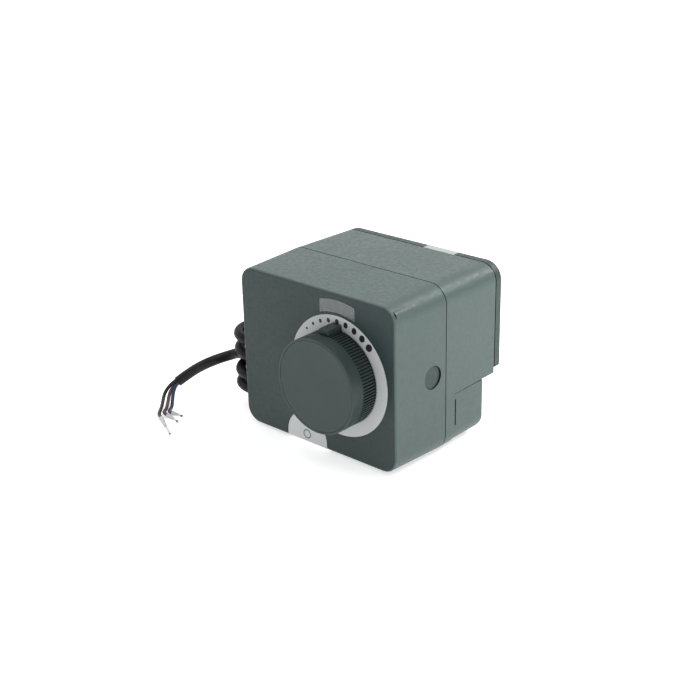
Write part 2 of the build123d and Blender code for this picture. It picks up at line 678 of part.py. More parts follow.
LEVER_X = 14.2


def limit_cam(start, lobe_angle):
    """Disc cam whose lobe is centred on lobe_angle (degrees)."""
    with BuildPart() as cam:
        with BuildSketch(level(start)):
            Circle(CAM_BASE_R)
            with BuildSketch(mode=Mode.PRIVATE) as lobe:
                Circle(CAM_LOBE_R)
                with BuildLine():
                    low = radians(lobe_angle - CAM_LOBE_HALF)
                    high = radians(lobe_angle + CAM_LOBE_HALF)
                    Polyline((0, 0), on_circle((0, 0), 30, low), on_circle((0, 0), 30, high), close=True)
                make_face(mode=Mode.INTERSECT)
            add(lobe.sketch)
            Circle(SHAFT_REAR_R + 0.03, mode=Mode.SUBTRACT)
        extrude(amount=LEVER_W)
    return cam


limit_cam_open = limit_cam(CAM_A_H, -45)
keep(limit_cam_open, "limit_cam_open")
limit_cam_close = limit_cam(CAM_B_H, 45)
keep(limit_cam_close, "limit_cam_close")

SWITCH_X = 16.0
SWITCH_SIZE = (10.0, 20.0)
SWITCH_SCREW_Z = 7.0
SWITCH_SCREW_R = 1.0
with BuildPart() as limit_switches:
    for start in (SWITCH_A_H, SWITCH_B_H):
        with BuildSketch(level(start)):
            with Locations((SWITCH_X, 0)):
                Rectangle(*SWITCH_SIZE, align=(Align.MIN, Align.CENTER))
            with Locations((SWITCH_X - 0.4, -3)):
                Rectangle(1.2, 1.6, align=(Align.MIN, Align.CENTER))
            with Locations((SWITCH_X + 5.5, -SWITCH_SCREW_Z), (SWITCH_X + 5.5, SWITCH_SCREW_Z)):
                Circle(SWITCH_SCREW_R + RUN, mode=Mode.SUBTRACT)
        extrude(amount=SWITCH_T)
        # solder tags on the far side
        with BuildSketch(level(start + 2.6)):
            with Locations(*[(SWITCH_X + SWITCH_SIZE[0], z) for z in (-8, 0, 8)]):
                Rectangle(3.2, 1.6, align=(Align.MIN, Align.CENTER))
        extrude(amount=0.5)
keep(limit_switches, "limit_switches")

LEVER_PIVOT = (17.2, -10.6)


def switch_lever(start):
    """Bent spring-steel strip with its hinge end under the switch body."""
    with BuildPart() as lever:
        with BuildSketch(level(start)):
            with Locations((LEVER_X, LEVER_PIVOT[1] - 0.2)):
                Rectangle(0.4, 18.4, align=(Align.MIN, Align.MIN))
                Rectangle(4.0, 0.4, align=(Align.MIN, Align.MIN))
            # curled hinge end
            with Locations(LEVER_PIVOT):
                Circle(0.5)
        extrude(amount=LEVER_W)
    return lever


switch_lever_open = switch_lever(CAM_A_H)
keep(switch_lever_open, "switch_lever_open")
switch_lever_close = switch_lever(CAM_B_H)
keep(switch_lever_close, "switch_lever_close")


def screws(points, seat, tip, shank_r, head_r, head_t, slot=0.8):
    """Slotted pan-head screws seated at height seat, with the shank running to tip."""
    forward = 1 if tip > seat else -1
    with BuildPart() as group:
        with BuildSketch(level(seat)):
            with Locations(*points):
                Circle(shank_r)
        extrude(amount=tip - seat)
        with BuildSketch(level(seat)):
            with Locations(*points):
                Circle(head_r)
        extrude(amount=-forward * head_t)
        with BuildSketch(level(seat - forward * head_t)):
            with Locations(*points):
                Rectangle(2 * head_r + 1, slot)
        extrude(amount=forward * head_t / 2, mode=Mode.SUBTRACT)
    return group


# ---- gear plates, pillars, axles and bushes ----
PILLARS = ((-44.0, 33.0), (12.0, 33.0), (12.0, -34.0), (-51.5, -34.5))
BOARD_PILLARS = ((-50.0, 13.0), (21.0, 13.0), (21.0, 29.0), (-50.0, 33.0))
MOTOR_EARS = ((-43.3, 5.4), (-24.0, -22.1))
PLATE_PIN_R = 1.2
with BuildPart() as rear_gear_plate:
    with BuildSketch(level(REAR_GEAR_PLATE[0])):
        with Locations(PLATE_CENTRE):
            RectangleRounded(*PLATE_SIZE, 3)
        Circle(10.02, mode=Mode.SUBTRACT)
        with Locations(C3):
            Circle(AXLE_R + 0.01, mode=Mode.SUBTRACT)
        with Locations(C2):
            Circle(SPINDLE_R + RUN, mode=Mode.SUBTRACT)
        with Locations(*PILLARS):
            Circle(PLATE_PIN_R + 0.02, mode=Mode.SUBTRACT)
        with Locations(*UPPER_BOX_SCREWS, *LOWER_BOX_SCREWS):
            Circle(BOX_SCREW_R + 0.1, mode=Mode.SUBTRACT)
        with Locations((SWITCH_X + 5.5, -SWITCH_SCREW_Z), (SWITCH_X + 5.5, SWITCH_SCREW_Z)):
            Circle(SWITCH_SCREW_R + 0.02, mode=Mode.SUBTRACT)
    extrude(amount=span(*REAR_GEAR_PLATE))
keep(rear_gear_plate, "rear_gear_plate")

with BuildPart() as front_gear_plate:
    with BuildSketch(level(FRONT_GEAR_PLATE[0])):
        with Locations(PLATE_CENTRE):
            RectangleRounded(*PLATE_SIZE, 3)
        Circle(7.02, mode=Mode.SUBTRACT)
        with Locations(C3, C1):
            Circle(AXLE_R + 0.01, mode=Mode.SUBTRACT)
        with Locations(C2):
            Circle(SPINDLE_R + RUN, mode=Mode.SUBTRACT)
        with Locations(MOTOR):
            Circle(4.0, mode=Mode.SUBTRACT)
        with Locations(*PILLARS, *BOARD_PILLARS):
            Circle(BOX_SCREW_R + 0.1, mode=Mode.SUBTRACT)
        with Locations(*MOTOR_EARS):
            Circle(1.02, mode=Mode.SUBTRACT)
    extrude(amount=span(*FRONT_GEAR_PLATE))
keep(front_gear_plate, "front_gear_plate")

with BuildPart() as plate_pillars:
    with BuildSketch(level(REAR_GEAR_PLATE[1])):
        with Locations(*PILLARS):
            Circle(2.8)
    extrude(amount=span(REAR_GEAR_PLATE[1], FRONT_GEAR_PLATE[0]))
    with BuildSketch(level(REAR_GEAR_PLATE[0] + 0.1)):
        with Locations(*PILLARS):
            Circle(PLATE_PIN_R)
    extrude(amount=2)
    with BuildSketch(level(FRONT_GEAR_PLATE[0])):
        with Locations(*PILLARS):
            Circle(BOX_SCREW_R + 0.02)
    extrude(amount=-8, mode=Mode.SUBTRACT)
keep(plate_pillars, "plate_pillars")
plate_screws = screws(PILLARS, FRONT_GEAR_PLATE[1], FRONT_GEAR_PLATE[0] - 7, BOX_SCREW_R, 2.2, 1.6)
keep(plate_screws, "plate_screws")

with BuildPart() as gear_axles:
    # the through axle of the third gear
    with BuildSketch(level(REAR_GEAR_PLATE[0])):
        with Locations(C3):
            Circle(AXLE_R)
    extrude(amount=span(REAR_GEAR_PLATE[0], FRONT_GEAR_PLATE[1]))
    # the stub axle of the first gear, with its retaining head
    with BuildSketch(level(C2_WHEEL_SPAN[0] - 0.3)):
        with Locations(C1):
            Circle(AXLE_R)
    extrude(amount=span(C2_WHEEL_SPAN[0] - 0.3, FRONT_GEAR_PLATE[1]))
    with BuildSketch(level(C2_WHEEL_SPAN[0] - 0.8)):
        with Locations(C1):
            Circle(1.7)
    extrude(amount=0.7)
keep(gear_axles, "gear_axles")

with BuildPart() as output_bush_rear:
    with BuildSketch(level(REAR_GEAR_PLATE[0])):
        Circle(10.0)
    extrude(amount=span(*REAR_GEAR_PLATE))
    with BuildSketch(level(REAR_GEAR_PLATE[0] - 0.8)):
        Circle(11.2)
    extrude(amount=0.8)
    with BuildSketch(level(REAR_GEAR_PLATE[0] - 1)):
        Circle(JOURNAL_R + RUN)
    extrude(amount=4, mode=Mode.SUBTRACT)
keep(output_bush_rear, "output_bush_rear")

with BuildPart() as output_bush_front:
    with BuildSketch(level(FRONT_GEAR_PLATE[0])):
        Circle(7.0)
    extrude(amount=span(*FRONT_GEAR_PLATE))
    with BuildSketch(level(FRONT_GEAR_PLATE[0] - BUSH_FLANGE_T)):
        Circle(8.5)
    extrude(amount=BUSH_FLANGE_T)
    with BuildSketch(level(FRONT_GEAR_PLATE[0] - BUSH_FLANGE_T)):
        Circle(SHAFT_FRONT_R + RUN)
    extrude(amount=4, mode=Mode.SUBTRACT)
keep(output_bush_front, "output_bush_front")

# ---- motor and control board ----
MOTOR_R = 17.0
MOTOR_FRONT_H = 77.0
with BuildPart() as motor_can:
    with BuildSketch(level(FRONT_GEAR_PLATE[1])):
        with Locations(MOTOR):
            Circle(MOTOR_R)
    extrude(amount=span(FRONT_GEAR_PLATE[1], MOTOR_FRONT_H))
    fillet(motor_can.faces().sort_by(Axis.Y)[0].edges(), 1.5)
    # mounting ears
    with BuildSketch(level(FRONT_GEAR_PLATE[1])):
        with BuildLine():
            for ear in MOTOR_EARS:
                Line(MOTOR, ear)
        trace(line_width=6.4)
        with Locations(*MOTOR_EARS):
            Circle(3.2)
    extrude(amount=1)
    with BuildSketch(level(FRONT_GEAR_PLATE[1])):
        with Locations(MOTOR):
            Circle(3.9)
    extrude(amount=-1.4)
    with BuildSketch(level(FRONT_GEAR_PLATE[0] - 2)):
        with Locations(MOTOR):
            Circle(AXLE_R + RUN)
    extrude(amount=10, mode=Mode.SUBTRACT)
    with BuildSketch(level(FRONT_GEAR_PLATE[1])):
        with Locations(*MOTOR_EARS):
            Circle(1.1, mode=Mode.ADD)
    extrude(amount=1, mode=Mode.SUBTRACT)
keep(motor_can, "motor_can")
motor_screws = screws(MOTOR_EARS, FRONT_GEAR_PLATE[1] + 1, FRONT_GEAR_PLATE[0], 1.0, 1.9, 1.2)
keep(motor_screws, "motor_screws")

BOARD_H = (70.0, 71.6)
BOARD_BOX = ((-55.0, 10.0), (27.0, 37.0))  # lower left and upper right corner, x and z
with BuildPart() as board_pillars:
    with BuildSketch(level(FRONT_GEAR_PLATE[1])):
        with Locations(*BOARD_PILLARS):
            RegularPolygon(2.6, 6)
    extrude(amount=span(FRONT_GEAR_PLATE[1], BOARD_H[0]))
    with BuildSketch(level(FRONT_GEAR_PLATE[0] + 0.1)):
        with Locations(*BOARD_PILLARS):
            Circle(BOX_SCREW_R)
    extrude(amount=2)
    with BuildSketch(level(BOARD_H[0] - 5)):
        with Locations(*BOARD_PILLARS):
            Circle(1.02)
    extrude(amount=5, mode=Mode.SUBTRACT)
keep(board_pillars, "board_pillars")
board_screws = screws(BOARD_PILLARS, BOARD_H[1], BOARD_H[0] - 4, 1.0, 1.9, 1.2)
keep(board_screws, "board_screws")

LED_POINTS = ((-5.5, 35.0), (4.5, 35.0))
CAPACITOR = (-20.0, 24.0)
with BuildPart() as control_board:
    with BuildSketch(level(BOARD_H[0])):
        with Locations(BOARD_BOX[0]):
            Rectangle(
                BOARD_BOX[1][0] - BOARD_BOX[0][0],
                BOARD_BOX[1][1] - BOARD_BOX[0][1],
                align=(Align.MIN, Align.MIN),
            )
        with Locations(*BOARD_PILLARS):
            Circle(1.1, mode=Mode.SUBTRACT)
    extrude(amount=span(*BOARD_H))
keep(control_board, "control_board")

with BuildPart() as run_capacitor:
    with BuildSketch(level(BOARD_H[0])):
        with Locations(CAPACITOR):
            RectangleRounded(18, 14, 1)
    extrude(amount=-8.0)
    fillet(run_capacitor.faces().sort_by(Axis.Y)[-1].edges(), 0.8)
keep(run_capacitor, "run_capacitor")

CONNECTOR = (-47.0, 22.5)
CORE_PITCH = 2.6
with BuildPart() as board_connector:
    with BuildSketch(level(BOARD_H[1])):
        with Locations(CONNECTOR):
            Rectangle(8, 9.6)
    extrude(amount=5.4)
    with BuildSketch(Plane.YZ.offset(CONNECTOR[0] - 4)):
        with Locations(*[(-BOARD_H[1] - 2.7, CONNECTOR[1] + i * CORE_PITCH) for i in (-1, 0, 1)]):
            Circle(1.2)
    extrude(amount=3, mode=Mode.SUBTRACT)
keep(board_connector, "board_connector")

with BuildPart() as direction_leds:
    with BuildSketch(level(BOARD_H[1])):
        with Locations(*LED_POINTS):
            Circle(1.5)
    extrude(amount=4)
    fillet(direction_leds.faces().sort_by(Axis.Y)[:2].edges(), 1.2)
keep(direction_leds, "direction_leds")

TERMINAL = (-14.5, -30.0)
with BuildPart() as terminal_block:
    with BuildSketch(level(PARTITION_H)):
        with Locations(TERMINAL):
            Rectangle(30, 12)
    extrude(amount=-9)
    with BuildSketch(level(PARTITION_H - 9)):
        with Locations(*[(TERMINAL[0] + i * 7.2, TERMINAL[1] + 1.5) for i in (-1.5, -0.5, 0.5, 1.5)]):
            Circle(2.0)
    extrude(amount=5, mode=Mode.SUBTRACT)
    with BuildSketch(Plane.XY.offset(TERMINAL[1] - 6)):
        with Locations(
            *[(TERMINAL[0] + i * 7.2, -PARTITION_H + 3.5) for i in (-1.5, -0.5, 0.5, 1.5)]
        ):
            Rectangle(4, 3)
    extrude(amount=5, mode=Mode.SUBTRACT)
keep(terminal_block, "terminal_block")

# ---- knob ----
CAP_R = 22.9
CAP_T = 1.2


def ribbed_outline(count, root_r, tip_r):
    """Knurl outline: straight ribs with flat tops."""
    with BuildSketch() as outline:
        with BuildLine():
            step = 2 * pi / count
            for rib in range(count):
                at = rib * step
                corners = (
                    on_circle((0, 0), root_r, at - 0.30 * step),
                    on_circle((0, 0), tip_r, at - 0.16 * step),
                    on_circle((0, 0), tip_r, at + 0.16 * step),
                    on_circle((0, 0), root_r, at + 0.30 * step),
                    on_circle((0, 0), root_r, at + 0.70 * step),
                )
                Polyline(*corners)
        make_face()
    return outline.sketch


with BuildPart() as knob:
    with BuildSketch(level(KNOB_BACK_H)):
        add(ribbed_outline(KNURL_COUNT, KNURL_ROOT_R, KNOB_R))
    extrude(amount=span(KNOB_BACK_H, KNURL_TOP_H))
    with BuildSketch(level(KNURL_TOP_H)):
        Circle(KNOB_R)
    extrude(amount=span(KNURL_TOP_H, KNOB_FRONT_H))
    fillet(knob.faces().sort_by(Axis.Y)[0].edges(), 0.5)
    # pointer block at twelve o'clock
    with BuildSketch(level(KNOB_BACK_H)):
        with Locations((0, 20)):
            Rectangle(POINTER_W, POINTER_R - 20, align=(Align.CENTER, Align.MIN))
    extrude(amount=span(KNOB_BACK_H, KNURL_TOP_H))
    # hollow back with a splined hub
    with BuildSketch(level(KNOB_BACK_H - 1)):
        Circle(21.2)
        Circle(8.5, mode=Mode.SUBTRACT)
    extrude(amount=13, mode=Mode.SUBTRACT)
    with BuildSketch(level(KNOB_BACK_H)):
        with PolarLocations(8, 6):
            Rectangle(13.5, 1.2, align=(Align.MIN, Align.CENTER))
    extrude(amount=12)
    with BuildSketch(level(KNOB_BACK_H - 1)):
        Circle(SHAFT_FRONT_R + 0.02)
    extrude(amount=span(KNOB_BACK_H - 1, KNOB_SCREW_H - 0.2), mode=Mode.SUBTRACT)
    with BuildSketch(level(KNOB_SCREW_H - 2)):
        Circle(1.7)
    extrude(amount=4, mode=Mode.SUBTRACT)
    with BuildSketch(level(KNOB_SCREW_H + 0.6)):
        Circle(4.2)
    extrude(amount=6, mode=Mode.SUBTRACT)
    with BuildSketch(level(KNOB_FRONT_H - CAP_T)):
        Circle(CAP_R + 0.06)
    extrude(amount=3, mode=Mode.SUBTRACT)
keep(knob, "knob")

with BuildPart() as knob_cap:
    with BuildSketch(level(KNOB_FRONT_H - CAP_T)):
        Circle(CAP_R)
    extrude(amount=CAP_T)
    fillet(knob_cap.faces().sort_by(Axis.Y)[0].edges(), 0.3)
keep(knob_cap, "knob_cap")
knob_screw = screws(((0, 0),), KNOB_SCREW_H + 0.6, KNOB_SCREW_H - 8, 1.6, 3.4, 1.9)
keep(knob_screw, "knob_screw")

# ---- side plug, cable grommet, cable and cores ----
RIGHT_WALL_X = CASE_X + CASE_W / 2 - 0.35
LEFT_WALL_X = CASE_X - CASE_W / 2 + 0.35
SHEATH_R = 2.75
CORE_R = 0.95
with BuildPart() as side_plug:
    with BuildSketch(Plane.YZ.offset(RIGHT_WALL_X - 0.45)):
        with Locations((-ENTRY_H, ENTRY_Z)):
            Circle(ENTRY_COUNTERBORE_R - 0.12)
    extrude(amount=-0.6)
    fillet(side_plug.faces().sort_by(Axis.X)[-1].edges(), 0.2)
    with BuildSketch(Plane.YZ.offset(RIGHT_WALL_X - 1.0)):
        with Locations((-ENTRY_H, ENTRY_Z)):
            Circle(ENTRY_R)
            Circle(ENTRY_R - 1.4, mode=Mode.SUBTRACT)
    extrude(amount=-3.2)
keep(side_plug, "side_plug")

GROMMET_MOUTH_R = 4.6
GROMMET_DEPTH = 1.6
with BuildPart() as cable_grommet:
    with BuildSketch(Plane.YZ.offset(LEFT_WALL_X + GROMMET_DEPTH)):
        with Locations((-ENTRY_H, ENTRY_Z)):
            Circle(ENTRY_R)
    extrude(amount=-GROMMET_DEPTH)
    with BuildSketch(Plane.YZ.offset(LEFT_WALL_X + 0.9)):
        with Locations((-ENTRY_H, ENTRY_Z)):
            Circle(ENTRY_COUNTERBORE_R - 0.1)
    extrude(amount=-1.5)
    with BuildSketch(Plane.YZ.offset(LEFT_WALL_X)):
        with Locations((-ENTRY_H, ENTRY_Z)):
            Circle(4.4)
    extrude(amount=-3.2, taper=6)
    with BuildSketch(Plane.YZ.offset(LEFT_WALL_X + 4)):
        with Locations((-ENTRY_H, ENTRY_Z)):
            Circle(SHEATH_R + 0.5)
    extrude(amount=-10, mode=Mode.SUBTRACT)
    # bell mouth inside the wall, where the cable turns upwards
    with BuildSketch(Plane.YZ.offset(LEFT_WALL_X + GROMMET_DEPTH)):
        with Locations((-ENTRY_H, ENTRY_Z)):
            Circle(GROMMET_MOUTH_R)
    extrude(amount=-1.4, taper=40, mode=Mode.SUBTRACT)
keep(cable_grommet, "cable_grommet")

COIL_CENTRE = (-77.5, -63.0)
COIL_R = 6.6
COIL_STEPS = 28
# turns from the back of the coil, and height of the centre line there
COIL_DROP = (
    (0, -0.25),
    (0.367, -2.75),
    (1.367, -11.0),
    (2.367, -23.0),
    (3.367, -30.25),
    (3.5, -31.3),
)


def coil_point(turn):
    """Centre line of the loose coil, counted in turns downwards from its back."""
    at = pi / 2 + 2 * pi * turn
    z = COIL_DROP[0][1]
    for (before, high), (after, low) in zip(COIL_DROP, COIL_DROP[1:]):
        if before <= turn <= after:
            z = high + (low - high) * (turn - before) / (after - before)
    return (COIL_CENTRE[0] + COIL_R * cos(at), COIL_CENTRE[1] + COIL_R * sin(at), z)


INNER_END = (-59.0, -66.5, 12.5)
SHEATH_END = (-109.6, -88.5, -31.5)
COIL_TURNS = COIL_DROP[-1][0]
with BuildPart() as cable_sheath:
    with BuildLine() as run:
        Spline(
            INNER_END,
            (-59.2, -62.0, 6.5),
            (-61.2, -56.5, 1.4),
            (-65.5, -ENTRY_H, ENTRY_Z),
            (-70.5, -ENTRY_H, ENTRY_Z),
            *[coil_point(COIL_TURNS * step / COIL_STEPS) for step in range(COIL_STEPS + 1)],
            (-71.5, -67.5, -32.5),
            (-72.7, -61.8, -33.3),
            (-74.7, -61.2, -33.0),
            (-77.8, -62.3, -29.3),
            (-78.0, -62.6, -24.7),
            (-79.0, -63.6, -18.6),
            (-83.8, -64.8, -16.2),
            (-90.3, -66.4, -18.0),
            (-93.5, -72.0, -19.1),
            (-96.0, -77.0, -20.3),
            (-102.65, -82.0, -24.8),
            (-107.35, -86.0, -29.1),
            SHEATH_END,
        )
    with BuildSketch(Plane(origin=run.line @ 0, z_dir=run.line % 0)):
        Circle(SHEATH_R)
    sweep()
keep(cable_sheath, "cable_sheath")
END_TANGENT = run.line % 1
INNER_TANGENT = (run.line % 0) * -1
END_SIDE = Vector(0.62, -0.78, 0)
END_UP = END_TANGENT.cross(END_SIDE).normalized()
CORE_OFFSET = 1.25


# where each core leaves the sheath inside the case, lowest connector way first
INNER_SHIFTS = {-1: (1.5, 0, 0), 0: (-1.0, -0.9, -0.7), 1: (-0.9, 0.9, 0.7)}


def ferrule_axis(back, tip):
    """Unit vector from the core's end to the ferrule's tip."""
    return (Vector(*tip) - Vector(*back)).normalized()


def core(shift, points, tip, slot):
    """One insulated core: its loose outer end and the length inside the case."""
    start = Vector(*SHEATH_END) + END_TANGENT * 0.2 + shift
    inner_start = Vector(*INNER_END) + INNER_TANGENT * 0.6 + Vector(*INNER_SHIFTS[slot])
    plug_in = (CONNECTOR[0] - 4.6, -BOARD_H[1] - 2.7, CONNECTOR[1] + slot * CORE_PITCH)
    with BuildPart() as wire:
        with BuildLine() as outer:
            Spline(start, *points, tangents=(END_TANGENT, ferrule_axis(points[-1], tip)))
        with BuildSketch(Plane(origin=outer.line @ 0, z_dir=outer.line % 0)):
            Circle(CORE_R)
        sweep()
        with BuildLine() as inner:
            Spline(inner_start, plug_in, tangents=(INNER_TANGENT, (1, 0, 0)))
        with BuildSketch(Plane(origin=inner.line @ 0, z_dir=inner.line % 0)):
            Circle(CORE_R)
        sweep()
    return wire


# core end, pin tip
FERRULES = (
    ((-99.0, -110.3, -41.85), (-81.0, -119.5, -42.2)),
    ((-99.0, -105.7, -41.85), (-89.3, -107.0, -42.2)),
    ((-98.8, -102.6, -41.6), (-91.0, -102.2, -41.2)),
)
core_black = core(
    END_UP * CORE_OFFSET,
    ((-112.1, -96.0, -36.5), (-109.1, -100.8, -40.4), (-104.5, -106.7, -41.3), FERRULES[0][0]),
    FERRULES[0][1],
    1,
)
keep(core_black, "core_black")
core_brown = core(
    END_UP * (-0.5 * CORE_OFFSET) - END_SIDE * (0.87 * CORE_OFFSET),
    ((-111.2, -92.2, -35.6), (-107.7, -97.6, -38.5), (-104.3, -102.7, -41.3), FERRULES[1][0]),
    FERRULES[1][1],
    0,
)
keep(core_brown, "core_brown")
core_blue = core(
    END_UP * (-0.5 * CORE_OFFSET) + END_SIDE * (0.87 * CORE_OFFSET),
    ((-106.8, -95.5, -39.1), (-104.5, -98.5, -41.4), FERRULES[2][0]),
    FERRULES[2][1],
    -1,
)
keep(core_blue, "core_blue")

COLLAR_SHARE = 0.5
with BuildPart() as ferrule_collars:
    for back, tip in FERRULES:
        along = Vector(*tip) - Vector(*back)
        with BuildSketch(Plane(origin=Vector(*back) + along.normalized() * 0.15, z_dir=along)):
            Circle(1.35)
        with BuildSketch(Plane(origin=Vector(*back) + along * COLLAR_SHARE, z_dir=along)):
            Circle(0.85)
        loft()
keep(ferrule_collars, "ferrule_collars")
with BuildPart() as ferrule_pins:
    for back, tip in FERRULES:
        along = Vector(*tip) - Vector(*back)
        with BuildSketch(Plane(origin=Vector(*back) + along * (COLLAR_SHARE + 0.01), z_dir=along)):
            Circle(0.6)
        extrude(amount=along.length * (0.99 - COLLAR_SHARE))
keep(ferrule_pins, "ferrule_pins")

# ---- remaining fasteners ----
case_screws_long = screws(UPPER_CASE_SCREWS, REAR_PLATE_T + 2.6, SEAM_H + 12, CASE_SCREW_R, 2.7, 2.0)
keep(case_screws_long, "case_screws_long")
case_screws_short = screws(LOWER_CASE_SCREWS, PARTITION_H, SEAM_H + 12, CASE_SCREW_R, 2.7, 2.0)
keep(case_screws_short, "case_screws_short")
gearbox_screws = screws(
    UPPER_BOX_SCREWS + LOWER_BOX_SCREWS,
    REAR_GEAR_PLATE[1],
    PARTITION_H + 0.7,
    BOX_SCREW_R,
    2.2,
    0.9,
)
keep(gearbox_screws, "gearbox_screws")
rear_plate_screws = screws(REAR_PLATE_SCREWS, 2.2, 10.5, BOX_SCREW_R, 2.6, 1.8)
keep(rear_plate_screws, "rear_plate_screws")
switch_screws = screws(
    ((SWITCH_X + 5.5, -SWITCH_SCREW_Z), (SWITCH_X + 5.5, SWITCH_SCREW_Z)),
    SWITCH_B_H,
    REAR_GEAR_PLATE[1],
    SWITCH_SCREW_R,
    1.9,
    1.2,
)
keep(switch_screws, "switch_screws")

os.makedirs("parts", exist_ok=True)
for piece in EXPORTS:
    export_step(piece, f"parts/{piece.label}.step")
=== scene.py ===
import math

import bmesh
import bpy
from mathutils import Matrix, Vector


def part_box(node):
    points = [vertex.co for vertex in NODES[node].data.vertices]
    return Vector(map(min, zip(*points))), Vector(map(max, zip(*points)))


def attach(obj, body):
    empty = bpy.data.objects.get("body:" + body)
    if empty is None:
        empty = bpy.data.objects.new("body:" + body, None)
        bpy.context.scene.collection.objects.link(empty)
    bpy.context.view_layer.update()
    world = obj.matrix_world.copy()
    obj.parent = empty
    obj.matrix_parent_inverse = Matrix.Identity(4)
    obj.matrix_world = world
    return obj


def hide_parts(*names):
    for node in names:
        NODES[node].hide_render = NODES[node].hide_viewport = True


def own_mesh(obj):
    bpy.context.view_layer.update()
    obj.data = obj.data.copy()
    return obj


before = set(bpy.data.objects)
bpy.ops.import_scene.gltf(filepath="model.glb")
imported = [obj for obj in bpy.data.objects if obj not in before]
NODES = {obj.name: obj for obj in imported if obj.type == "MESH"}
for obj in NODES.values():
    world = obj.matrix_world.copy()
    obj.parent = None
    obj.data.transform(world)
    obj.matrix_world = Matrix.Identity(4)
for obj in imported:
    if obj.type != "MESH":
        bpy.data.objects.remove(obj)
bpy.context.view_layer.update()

MM = 0.001

# ---- camera: azimuth and elevation round the object, in degrees, and a slight roll ----
AZIMUTH = 42.26
ELEVATION = 22.94
ROLL = -1.28
DISTANCE = 0.6642
TARGET = Vector((-0.02846, -0.041, -0.00726))
LENS = 66.76
FLOOR_Z = -0.04325


# ---------------------------------------------------------------- materials
class Shader:
    """A small helper that builds one node material."""

    def __init__(self, name):
        self.material = bpy.data.materials.new(name)
        self.material.use_nodes = True
        self.tree = self.material.node_tree
        self.bsdf = self.tree.nodes["Principled BSDF"]
        self.coords = self.tree.nodes.new("ShaderNodeTexCoord").outputs["Object"]
        self.height = None

    def set(self, **values):
        for name, value in values.items():
            self.bsdf.inputs[name.replace("_", " ")].default_value = value
        return self

    def node(self, kind, **values):
        node = self.tree.nodes.new(kind)
        for name, value in values.items():
            setattr(node, name, value)
        return node

    def link(self, a, b):
        self.tree.links.new(a, b)

    def noise(self, scale, detail=3.0, roughness=0.5, stretch=None):
        """Noise value with features of about 1/scale metres; stretch scales the axes."""
        texture = self.node("ShaderNodeTexNoise")
        texture.inputs["Scale"].default_value = scale
        texture.inputs["Detail"].default_value = detail
        texture.inputs["Roughness"].default_value = roughness
        source = self.coords
        if stretch:
            mapping = self.node("ShaderNodeMapping")
            mapping.inputs["Scale"].default_value = stretch
            self.link(source, mapping.inputs["Vector"])
            source = mapping.outputs["Vector"]
        self.link(source, texture.inputs["Vector"])
        return texture.outputs["Fac"]

    def ramp(self, value, low, high, low_value, high_value):
        """Map value from low..high to low_value..high_value, clamped."""
        node = self.node("ShaderNodeMapRange")
        for name, number in (
            ("From Min", low),
            ("From Max", high),
            ("To Min", low_value),
            ("To Max", high_value),
        ):
            node.inputs[name].default_value = number
        self.link(value, node.inputs["Value"])
        return node.outputs["Result"]

    def mix(self, factor, first, second):
        """Colour between first and second."""
        node = self.node("ShaderNodeMix", data_type="RGBA")
        self.link(factor, node.inputs["Factor"])
        for socket, colour in ((node.inputs[6], first), (node.inputs[7], second)):
            if isinstance(colour, tuple):
                socket.default_value = (*colour, 1.0)
            else:
                self.link(colour, socket)
        return node.outputs[2]

    def colour(self, socket):
        self.link(socket, self.bsdf.inputs["Base Color"])
        return self

    def rough(self, socket):
        self.link(socket, self.bsdf.inputs["Roughness"])
        return self

    def bump(self, value, strength, distance):
        """Add a bump layer on top of those already there."""
        node = self.node("ShaderNodeBump")
        node.inputs["Strength"].default_value = strength
        node.inputs["Distance"].default_value = distance
        self.link(value, node.inputs["Height"])
        if self.height is not None:
            self.link(self.height, node.inputs["Normal"])
        self.height = node.outputs["Normal"]
        self.link(self.height, self.bsdf.inputs["Normal"])
        return self

    def painted_edge_highlight(self, base, light, amount=0.6, radius=0.0004):
        """Colour painted lighter along sharp edges: a painted highlight."""
        bevel = self.node("ShaderNodeBevel", samples=4)
        bevel.inputs["Radius"].default_value = radius
        geometry = self.node("ShaderNodeNewGeometry")
        dot = self.node("ShaderNodeVectorMath", operation="DOT_PRODUCT")
        self.link(bevel.outputs["Normal"], dot.inputs[0])
        self.link(geometry.outputs["Normal"], dot.inputs[1])
        edge_highlight = self.ramp(dot.outputs["Value"], 0.80, 0.99, amount, 0.0)
        return self.mix(edge_highlight, base, light)

    def painted_gap_shade(self, base, distance):
        """Colour painted towards black in seams and gaps: painted shade, from ambient occlusion."""
        shade = self.node("ShaderNodeAmbientOcclusion", samples=6)
        shade.inputs["Distance"].default_value = distance
        return self.mix(self.ramp(shade.outputs["AO"], 0.45, 0.96, 0.0, 1.0), (0.002, 0.003, 0.003), base)


def moulded(name, dark, light, rough=(0.42, 0.62), grain=1500, grain_depth=0.00009, edge_highlight=None,
            gap_shade_distance=0.0):
    """Injection-moulded plastic with a spark-eroded grain and soft colour drift."""
    shader = Shader(name)
    drift = shader.noise(28, 3)
    fine = shader.noise(grain, 4, 0.65)
    coarse = shader.noise(grain * 0.35, 2)
    base = shader.mix(shader.ramp(drift, 0.3, 0.7, 0, 1), dark, light)
    # A light edge colour is a painted highlight along sharp edges.
    if edge_highlight:
        base = shader.painted_edge_highlight(base, edge_highlight)
    # The darkening in seams and gaps is painted shade.
    if gap_shade_distance:
        base = shader.painted_gap_shade(base, gap_shade_distance)
    shader.colour(base)
    shader.rough(shader.ramp(coarse, 0.3, 0.7, *rough))
    shader.bump(coarse, 0.35, grain_depth)
    shader.bump(fine, 0.55, grain_depth * 0.7)
    if gap_shade_distance:
        shader.set(Specular_IOR_Level=0.3)
    return shader


